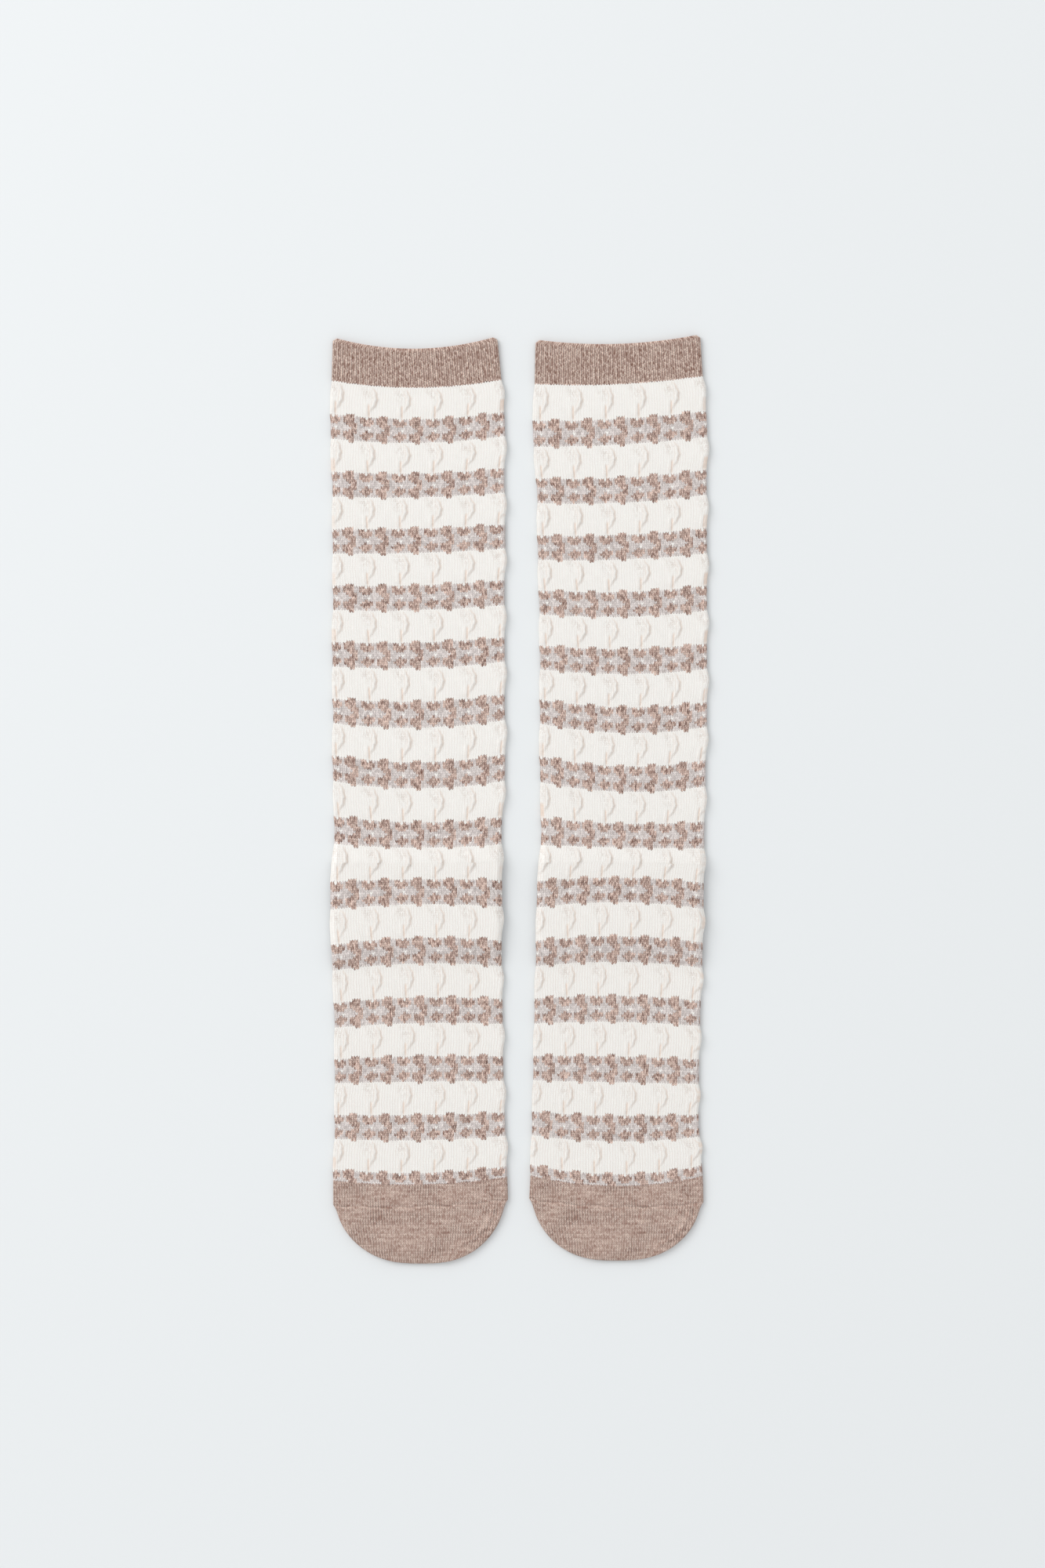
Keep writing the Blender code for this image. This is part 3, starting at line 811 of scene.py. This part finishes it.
ribbed = Finish("ribbed brown knit")
wales, courses = ribbed.stitch_count()
rib = abs(wales % 1 - 0.5)
half_ribs = wales * 2 - 0.5
legs = Legs(ribbed, half_ribs, courses + (half_ribs.floor() % 2) * 0.5, slant=0.5)
fluff = ribbed.noise(wales * 4, courses, 1.0)
patch = ribbed.noise(wales * 0.5, courses * 0.4, 1.0)
# painted highlight along each rib's ridge
ridge = (RIDGE_WIDTH - rib) * (rib < RIDGE_WIDTH) / RIDGE_WIDTH
shade = legs.shade * LEG_SHADE + fluff * FLUFF_SHADE + patch * PATCH_SHADE - SHADE_DROP
yarn = ribbed.mix(shade + ridge * RIDGE_HIGHLIGHT, BROWN_DARK, BROWN_LIGHT)
lip = (LIP_COURSES - courses) * (courses < LIP_COURSES)
# painted shade in the gaps between the stitches
dot = legs.furrow() * legs.between() * (DOT_LEAST + legs.shade * DOT_VARIES)
yarn = ribbed.brighten(yarn, RIBBED_BRIGHT + ridge * patch * RIDGE_HIGHLIGHT_LIFT - dot + lip * LIP_LIFT)
RIBBED = ribbed.finish(yarn, legs.height, RIB_YARN_DEPTH, RIB_YARN_BUMP)
print("three knits in all")

# %% [markdown]
# ## Leg and foot
#
# The striped tube runs from the cuff to the toe, and the ankle crease parts it into leg and foot.
# Below the crease the foot lies on the folded heel pocket, which lifts it by three millimetres and
# lets it down again past the pocket's end. Where the lifted edges overhang the narrower pocket they
# sag a little. The hooks push the right edge out high in a cream stripe, and the left edge just
# below it. Rows are closer together in the cream stripes, where the hooks are, and the plain inside
# needs only a few. The underside is pressed flat by the floor and shows its hooks faintly.

# %% Rows along a striped tube
ROWS_IN_CREAM, ROWS_IN_GREY = 22, 10
ROW_GAP = 0.01  # in stripe pitches: the least from a tube's end to its next row
STRIPES = 15  # grey ones, from 0 at the cuff


def striped_rows(start, end):
    """Places of the rows: many in each cream stripe, fewer in the grey ones."""
    cream = np.linspace(CREAM_STARTS, CREAM_ENDS, ROWS_IN_CREAM, endpoint=False)
    grey = np.linspace(CREAM_ENDS, 1 + CREAM_STARTS, ROWS_IN_GREY, endpoint=False)
    rows = np.concatenate([cream, grey])
    rows = (np.arange(-1, STRIPES)[:, None] + rows).ravel()
    rows = rows[(rows > start + ROW_GAP) & (rows < end - ROW_GAP)]
    return np.concatenate([[start], rows, [end]])


print(len(striped_rows(CUFF_ENDS, CREASE)), "rows along a leg")

# %% Striped tubes
HEEL_SLIT = 0.4  # air in the folded pocket
HEEL_STACK = 2 * WALL + HEEL_SLIT + 0.3  # the pocket, and a little air over it
HEEL_LENGTH = 40.0
HEEL_CLEAR, DRAPE = 3.0, 14.0  # this far past the pocket the cloth comes down, over this length
STRIPE_BULGE = 0.6
EDGE_BUMPS = ((0.5, 1.05, 0.2), (0.65, 0.3, 0.28), (0.2, 0.8, 0.2))  # mm, place and reach
EDGE_SAG, SAG_STARTS = 0.45, 0.93  # share of the lift that is lost, and where across that starts
UNDERSIDE = 0.25  # how much of the hooks shows there
INSIDE_STEP = 14  # the inside has every 14th row only
SIZES = (0.82, 1.12)  # the hooks' widths and heights vary by these factors


def heel_lift(sock, stripe, on_foot):
    y = course_at(sock.courses, stripe)[..., Y]
    crease = course_at(sock.courses, CREASE)[..., Y]
    if on_foot:
        return HEEL_STACK * smooth_step((y - crease + HEEL_LENGTH + HEEL_CLEAR + DRAPE) / DRAPE)
    return HEEL_STACK * smooth_step((crease + DRAPE - y) / DRAPE)


def edge_bulge(stripe):
    """How far the left and the right edge stand out."""
    down = down_the_cream(stripe)
    left, right, drawn_in = (size * bump(down, middle, reach) for size, middle, reach in EDGE_BUMPS)
    return left, right - drawn_in


def stitch_grid(sock, columns, course, stripe):
    """Wales and courses at each row and column. The underside takes what is left of the round."""
    half = (course[:, RIGHT] - course[:, LEFT]) / 2
    turn = course[:, TURN] / half
    edge = 1 - FLAT / 2 / half
    left, right = ((side * edge - turn) / sock.cell + HOOKS / 2 for side in (-1, 1))
    share = columns.share[None, :]
    over = left[:, None] + (right - left)[:, None] * share
    under = right[:, None] + (left + ROUND - right)[:, None] * (share - 1)
    cells = np.where(share <= 1, over, under) + 2 * ROUND * (sock.side == "right")
    courses = np.broadcast_to(stripe[:, None] * COURSES, cells.shape)
    return np.stack([cells * WALES, courses], -1)


def striped_tube(sock, name, start, end):
    on_foot = start >= CREASE
    columns = STRIPED_COLUMNS
    outer = striped_rows(start, end)
    inner = np.concatenate([outer[:-1:INSIDE_STEP], [end]])[::-1]
    stripe = np.concatenate([inner, outer, [end]])
    inside = np.concatenate([np.full(len(inner), WALL), np.zeros(len(outer)), [WALL]])
    course = course_at(sock.courses, stripe)
    lift = heel_lift(sock, stripe, on_foot)
    half = (course[:, RIGHT] - course[:, LEFT]) / 2 + STRIPE_BULGE * swell(stripe)
    base = lift if on_foot else 0 * lift
    place = columns.across * (1 - FLAT / 2 / half[:, None])
    outside = (inside == 0)[:, None]
    # the crease values are the painted shade by the hooks' edges and slits
    relief, crease, knot = hooks(sock, stripe[:, None], place, sock.sizes)
    relief = relief * outside
    under = np.maximum(HOOK_HEIGHT - relief, 0) * UNDERSIDE * outside
    points = wrap(columns, course, half, base, lift + FLAT, inside, relief, under, edge_bulge(stripe))
    middle = (course[:, LEFT] + course[:, RIGHT]) / 2
    reach = np.abs(points[..., 0] - middle[:, None]) / half[:, None]
    sag = EDGE_SAG * lift[:, None] * smooth_step((reach - SAG_STARTS) / (1 - SAG_STARTS))
    points[..., 2] -= sag * np.clip(points[..., 2] / HEEL_STACK, 0, 1)
    stitches = stitch_grid(sock, columns, course, stripe)
    rims = (0, len(inner) - 1, len(inner), len(stripe) - 2, len(stripe) - 1)
    return cloth(f"{sock.side}_{name}_knit", points, stitches, rims, crease=crease, knot=knot)


for sock in SOCKS:
    sock.sizes = sock.random.uniform(*SIZES, (2, STRIPES + 1, HOOKS + 1))
    sock.leg = striped_tube(sock, "leg", CUFF_ENDS, CREASE)
    sock.foot = striped_tube(sock, "foot", CREASE, TOE_STARTS)

# %% [markdown]
# ## Cuff
#
# The cuff is a narrow rib: each rib is one wale of Vs and each furrow lets the next one sink. Its
# top edge is turned over, so the wall ends in a rounded lip, and its top corners are rounded too.

# %% Cuffs
RIBS, RIBS_ROUND = 36, 74  # across a face, and all round
RIB_DEPTH, FURROW_POWER = 0.3, 1.5
CORNER = 1.5  # how much narrower the turned edge is at each side
CORNER_RINGS, CORNER_ENDS, CUFF_ROWS = np.array([0, 0.2, 0.45, 0.8]), 3.5, 16
CUFF_COURSE = 1.26  # height of a course in mm
LIP_STEPS = 6
RIGHT_SOCK_RIBS = 100  # the right sock's ribs are counted from here, so its yarn differs
CUFF_COLUMNS = Columns(top=216, fold=8, under=144)


def cuff(sock):
    columns = CUFF_COLUMNS
    top, end = sock.courses[0], sock.courses[1]
    length = top[Y] - end[Y]
    lip = np.linspace(0, math.pi, LIP_STEPS + 1)[1:-1]
    inner = np.array([length, length / 2, CORNER])
    outer = np.concatenate([CORNER * CORNER_RINGS, np.linspace(CORNER_ENDS, length, CUFF_ROWS)])
    depth = np.concatenate([inner, 0 * lip, outer, [length]])
    inset = np.concatenate([0 * inner + WALL, WALL / 2 * (1 + np.cos(lip)), 0 * outer, [WALL]])
    shift = np.concatenate([0 * inner, WALL / 2 * np.sin(lip), 0 * outer, [0]])
    stripe = top[STRIPE] + (end[STRIPE] - top[STRIPE]) * depth / length
    course = course_at(sock.courses, stripe)
    narrow = CORNER * np.clip(1 - depth / CORNER, 0, 1) ** 2
    half = (course[:, RIGHT] - course[:, LEFT]) / 2 - narrow
    share = columns.share
    ribs = np.where(share <= 1, share * RIBS, RIBS + (share - 1) * (RIBS_ROUND - RIBS))
    furrow = RIB_DEPTH * (0.5 + 0.5 * np.cos(2 * math.pi * ribs)) ** FURROW_POWER
    furrow = furrow * (1 - inset / WALL)[:, None]
    points = wrap(columns, course, half, 0 * half, 0 * half + FLAT, inset, -furrow, furrow, shift=shift)
    wales = np.broadcast_to(ribs, points.shape[:2]) + RIGHT_SOCK_RIBS * (sock.side == "right")
    courses = np.broadcast_to(((depth - inset) / CUFF_COURSE)[:, None], points.shape[:2])
    stitches = np.stack([wales, courses], -1)
    return cloth(f"{sock.side}_cuff_knit", points, stitches, (len(depth) - 2, len(depth) - 1))


for sock in SOCKS:
    sock.cuff = cuff(sock)

# %% [markdown]
# ## Toe and heel
#
# Both are pockets of plain knit. Their wales run straight on from the tube, so the stitches are
# counted from the distance across, not from the place round the narrowing pocket. Across the instep
# the toe has the thin ridge of its closing seam, with a slightly wavy line of painted shade just above
# it and a painted highlight just below. The seam draws the outline in just below its ends, and soft
# wrinkles lie to the lower right, where the toe isn't laid quite flat; they carry painted shade and
# highlight, and a painted highlight lies over that corner.

# %% Pockets
TOE_LENGTH = 31  # from the seam to the tip
SEAM_ROWS = np.array([0.0, 0.3, 0.6, 0.9, 1.3])  # distances of the closest rows from the seam
SEAM_ROWS_END = 0.005  # of the toe's length, from the last of them to the next row
INNER_RINGS, OUTER_RINGS = 10, 30
THINNEST = 0.1  # a pocket's tip is squeezed to this share of its height
LAST_SHARE = 0.9995  # where along a pocket its last ring lies
WALE, COURSE = 1.41, 1.2  # width and height of a stitch in mm
CONVERGE = 0.16  # the wales draw together towards the tip
UNDER_WALES = 90.5  # the underside's wales are counted back from this one
POCKET_COLUMNS = Columns(top=130, fold=6, under=60, gap=True)


def pocket_end(seam, half, end_y, share, outline, top):
    """Courses, half widths and squeeze of the rings of a rounded end."""
    fall, roundness = outline
    course = np.repeat(seam[None], len(share), 0)
    course[:, Y] = seam[Y] + (end_y - seam[Y]) * share
    course[:, TILT] *= 1 - share
    course[:, BOW] *= 1 - share
    to_end = np.minimum(np.abs(end_y - seam[Y]) * (1 - share) / (top / 2), 1)
    squeeze = np.maximum(np.sqrt(1 - (1 - to_end) ** 2), THINNEST)
    width = np.maximum(half * (1 - share**fall) ** (1 / roundness), top)
    return course, width, squeeze


def pocket_stitches(columns, points, mouth_y, centre):
    """Wales from the distance across, drawn together towards the tip, and courses from the height."""
    flat = columns.top + 1
    deep = np.maximum(mouth_y - points[..., 1], 0) / TOE_LENGTH
    wales = (points[..., 0] - centre) * (1 + CONVERGE * deep**2) / WALE
    under = slice(flat + columns.fold + 1, flat + columns.fold + columns.under + 2)
    wales[:, under] = UNDER_WALES - wales[:, under]
    fold = slice(flat, flat + columns.fold + 1)
    turned = FLAT / 2 * np.linspace(0, math.pi, columns.fold + 1) / WALE
    wales[:, fold] = wales[:, [flat - 1]] + turned
    wales[:, -columns.fold - 1 :] = wales[:, [0]] - turned[::-1]
    return np.stack([wales, -points[..., 1] / COURSE], -1)


def pocket(sock, name, tube, end_rings, top, relief):
    """A pocket's wall: inside from its tip to its mouth, then outside from its mouth to its tip."""
    columns = POCKET_COLUMNS
    tube_course, tube_half = tube
    parts = []
    for inset, steps, outward in ((WALL, INNER_RINGS, False), (0.0, OUTER_RINGS, True)):
        share = np.sin(math.pi / 2 * np.arange(1, steps) / steps)
        share = np.append(share, LAST_SHARE)
        if outward:
            near = SEAM_ROWS[1:] / TOE_LENGTH
            share = np.append(near, share[share > near[-1] + SEAM_ROWS_END])
        course, half, squeeze = end_rings(share, inset)
        keep = slice(None) if outward else slice(None, None, len(tube_half) - 1)
        course = np.concatenate([tube_course[keep], course])
        half = np.concatenate([tube_half[keep], half])
        squeeze = np.concatenate([np.ones(len(tube_half[keep])), squeeze])
        points = wrap(columns, course, half, 0 * half, 0 * half + top, 0 * half + inset)
        if outward:
            # the relief also gives the painted shade and highlight that the material reads as crease
            height, crease = relief(points[..., 0], points[..., 1])
            points[..., 2] += height * np.maximum(columns.up, 0)
            creases = crease * (columns.up > 0)
        points[..., 2] = top / 2 + (points[..., 2] - top / 2) * squeeze[:, None]
        parts.append(points if outward else points[::-1])
    points = np.concatenate(parts)
    mouth = len(parts[0])
    creases = np.concatenate([np.zeros((mouth, columns.count)), creases])
    centre = (tube_course[-1, LEFT] + tube_course[-1, RIGHT]) / 2
    stitches = pocket_stitches(columns, points, tube_course[-1, Y], centre)
    return cloth(f"{sock.side}_{name}_knit", points, stitches, (mouth - 1, mouth), crease=creases)


print(POCKET_COLUMNS.count, "columns round a pocket")

# %% Toes
TOE_OUTLINE = (1.4, 2.6)  # how late it narrows, and how square it is
TOE_ROWS, TOE_ROWS_END = 9, 0.03  # the even rows, and the stripe pitches from them to the seam's rows
TOE_DIP, TOE_DIP_AT = 1.1, 0.12  # the outline is drawn in by this much, here along the toe
RIDGE_HEIGHT, RIDGE_REACH = 0.3, 0.5
SEAM_WAVES = ((0.3, 0.35, 0), (0.2, 0.9, 1))  # of the shaded line: mm, turn a mm, and start
# painted shade in a wavy line just above the seam's ridge
LINE_UP, LINE_REACH = 0.3, 0.35
# painted highlight just below the seam's ridge
SEAM_HIGHLIGHT, SHINE_DOWN, SHINE_REACH = 1.2, 0.8, 0.5  # the seam's lower side is lighter
CORNER_AT, CORNER_REACH = 0.86, 0.1  # the wrinkles: half widths across and toe lengths down
CORNER_SLOPE, CORNER_START, CORNER_BELOW = 3, 0.9, 6  # only to the right and below the seam
FOLD_TURNS, FOLD_LENGTH, FOLD_HEIGHT = 55, 3.5, 0.5
SOFT_LENGTH, SOFT_HEIGHT = 14, 0.15
# painted shade and highlight along the wrinkles, and a painted highlight over the corner
FOLD_SHADE, CORNER_HIGHLIGHT = 1.4, 0.3


def toe(sock):
    start, seam = sock.courses[-2], sock.courses[-1]
    by_seam = seam[STRIPE] - SEAM_ROWS[::-1] / (start[Y] - seam[Y]) * (seam[STRIPE] - start[STRIPE])
    stripe = np.append(np.linspace(start[STRIPE], by_seam[0] - TOE_ROWS_END, TOE_ROWS), by_seam)
    course = course_at(sock.courses, stripe)
    half = (course[:, RIGHT] - course[:, LEFT]) / 2
    wrinkles = sock.random.spawn(1)[0]

    def end_rings(share, inset):
        course, width, squeeze = pocket_end(seam, half[-1], sock.tip + inset, share, TOE_OUTLINE, FLAT)
        dip = share / TOE_DIP_AT
        return course, np.maximum(width - TOE_DIP * dip * np.exp(1 - dip), FLAT), squeeze

    def relief(x, y):
        side = (x - (seam[LEFT] + seam[RIGHT]) / 2) / half[-1]
        seam_y = seam[Y] + seam[TILT] * side + seam[BOW] * side**2
        ridge = RIDGE_HEIGHT * bump(y, seam_y, RIDGE_REACH)
        for height, turn, begin in SEAM_WAVES:
            seam_y = seam_y + height * np.sin(x * turn + begin)
        # painted shade just above the seam's ridge and a painted highlight just below it
        line = bump(y, seam_y + LINE_UP, LINE_REACH) - SEAM_HIGHLIGHT * bump(y, seam_y - SHINE_DOWN, SHINE_REACH)
        far = np.hypot(side, np.minimum(y - seam_y, 0) / TOE_LENGTH)
        corner = bump(far, CORNER_AT, CORNER_REACH) * smooth_step(side * CORNER_SLOPE - CORNER_START)
        corner = corner * smooth_step((seam_y - y) / CORNER_BELOW)
        folds = (np.sin(far * FOLD_TURNS) + ripple(wrinkles, x, y, FOLD_LENGTH)) / 2 * corner
        soft = SOFT_HEIGHT * ripple(wrinkles, x, y, SOFT_LENGTH)
        # the second value is painted light: shade where it is above 0, highlight where it is below
        return ridge + FOLD_HEIGHT * folds + soft, line - FOLD_SHADE * folds - CORNER_HIGHLIGHT * corner

    return pocket(sock, "toe", (course, half), end_rings, FLAT, relief)


print("a toe reaches", round(LEFT_COURSES[-1, Y] - SOCKS[0].tip, 1), "mm past its seam")

# %% Heels
HEEL_OUTLINE = (4.0, 4.0)
HEEL_INSET, HEEL_TAPER = 3.4, 0.3
MOUTH_DEPTH = 0.5


def heel(sock):
    crease = course_at(sock.courses, CREASE)
    half = (crease[RIGHT] - crease[LEFT]) / 2 - HEEL_INSET
    top = 2 * WALL + HEEL_SLIT
    mouth = np.repeat(crease[None], 2, 0)
    mouth[1, Y] -= MOUTH_DEPTH

    def end_rings(share, inset):
        end_y = crease[Y] - HEEL_LENGTH + inset
        tapered = half * (1 - HEEL_TAPER * share)
        return pocket_end(crease, tapered, end_y, share, HEEL_OUTLINE, top)

    return pocket(sock, "heel", (mouth, np.full(2, half)), end_rings, top, lambda x, y: (0 * x, 0 * x))


for sock in SOCKS:
    sock.toe = toe(sock)
    sock.heel = heel(sock)

# %% [markdown]
# ## Dressing the part
#
# Each piece of cloth takes its knit, rides on the part's only body and takes the place of its solid.
# The area it has when it is cut open and laid out flat is worked out too.

ROUND_MM = 188.0  # all round a sock
TOE_CUT, HEEL_CUT = (ROUND_MM, 42.0), (ROUND_MM - 10, 40.0)
POCKET_SHARE = 0.80  # of that rectangle, because a pocket's end is rounded

for sock in SOCKS:
    ends = [course_at(sock.courses, stripe)[Y] for stripe in (CUFF_STARTS, CUFF_ENDS, CREASE, TOE_STARTS)]
    cuff_size, leg_size, foot_size = ((ROUND_MM, high - low) for high, low in zip(ends, ends[1:]))
    for name, piece, finish, slot, flat, share in (
        ("cuff", sock.cuff, RIBBED, "heather_knit", cuff_size, 1.0),
        ("leg", sock.leg, STRIPED, "striped_knit", leg_size, 1.0),
        ("foot", sock.foot, STRIPED, "striped_knit", foot_size, 1.0),
        ("toe", sock.toe, PLAIN, "heather_knit", TOE_CUT, POCKET_SHARE),
        ("heel", sock.heel, PLAIN, "heather_knit", HEEL_CUT, POCKET_SHARE),
    ):
        piece.data.materials.append(finish)
        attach(piece, "root")
        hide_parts(f"{sock.side}_{name}")
        area = share * flat[0] * flat[1] * MM * MM
        rests_on = ["floor", f"{sock.side}_heel"] if name == "foot" else ["floor"]
        flat[0] * MM
        flat[1] * MM
    print(sock.side, "sock dressed")

# %% Compare with the part's box and finish
VISUAL_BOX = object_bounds()
for name, corner in (("lowest", 0), ("highest", 1)):
    grown = VISUAL_BOX[corner] - CAD_BOX[corner]
    print(name, "corner moved by", [round(value / MM, 2) for value in grown], "mm")
